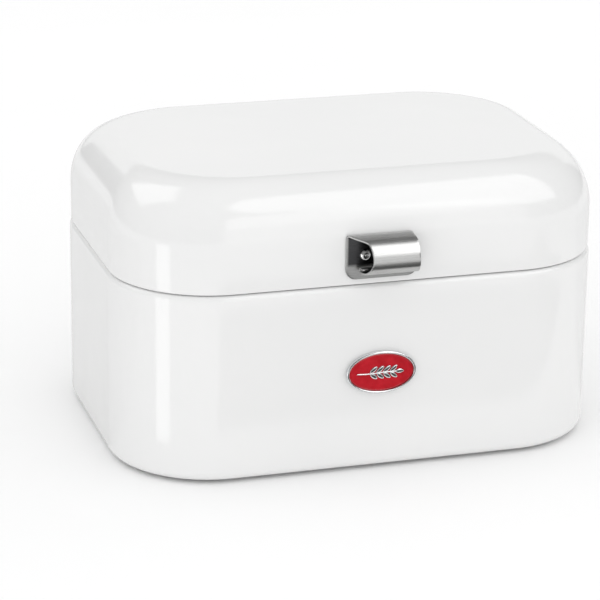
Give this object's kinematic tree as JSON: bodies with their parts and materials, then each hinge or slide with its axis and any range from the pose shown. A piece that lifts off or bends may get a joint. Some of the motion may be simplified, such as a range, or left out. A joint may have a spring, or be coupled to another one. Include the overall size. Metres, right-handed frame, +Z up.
{
  "type": "bread box",
  "caption": "Bread box of white enamelled steel: an open tub with round corners and a domed lid that swings up and back on rear hinges, with a rolled stainless handle.",
  "frame": {"origin": "under the middle of the whole box, handle and hinges included, on the surface it stands on", "axes": "+X to the viewer's right when looking at the front, +Y from the front to the rear, +Z up"},
  "size_m": [0.2846, 0.2287, 0.1702],
  "materials": {
    "white_enamel": "glossy vitreous enamel",
    "brushed_stainless": "fine brushing along the width",
    "chrome": "polished",
    "red_enamel": "glossy translucent enamel",
    "zinc_plate": "satin zinc plate",
    "rubber": "matt moulded rubber",
    "silicone": "translucent silicone"
  },
  "bodies": {
    "tub": {"tub_shell": "white_enamel", "foot_front_left": "rubber", "foot_front_right": "rubber", "foot_rear_left": "rubber", "foot_rear_right": "rubber", "badge_bezel": "chrome", "badge_enamel": "red_enamel", "badge_emblem": "chrome", "badge_clip_left": "zinc_plate", "badge_clip_right": "zinc_plate", "hinge_tub_leaf_left": "zinc_plate", "hinge_tub_leaf_right": "zinc_plate", "hinge_pin_left": "zinc_plate", "hinge_pin_right": "zinc_plate", "tub_rivet_left_inner": "zinc_plate", "tub_rivet_left_outer": "zinc_plate", "tub_rivet_right_inner": "zinc_plate", "tub_rivet_right_outer": "zinc_plate"},
    "lid": {"lid_shell": "white_enamel", "handle_bracket": "brushed_stainless", "hinge_lid_leaf_left": "zinc_plate", "hinge_lid_leaf_right": "zinc_plate", "lid_rivet_left_inner": "zinc_plate", "lid_rivet_left_outer": "zinc_plate", "lid_rivet_right_inner": "zinc_plate", "lid_rivet_right_outer": "zinc_plate", "handle_rivet_left": "brushed_stainless", "handle_rivet_right": "brushed_stainless", "handle_rivet_core_left": "zinc_plate", "handle_rivet_core_right": "zinc_plate", "lid_bumper_left": "silicone", "lid_bumper_right": "silicone"}
  },
  "joints": [
    {"name": "lid_hinge", "type": "hinge", "parent": "tub", "child": "lid", "pos_m": [0, 0.10987, 0.11065], "axis": [-1, 0, 0], "range_deg": [0, 95]}
  ]
}
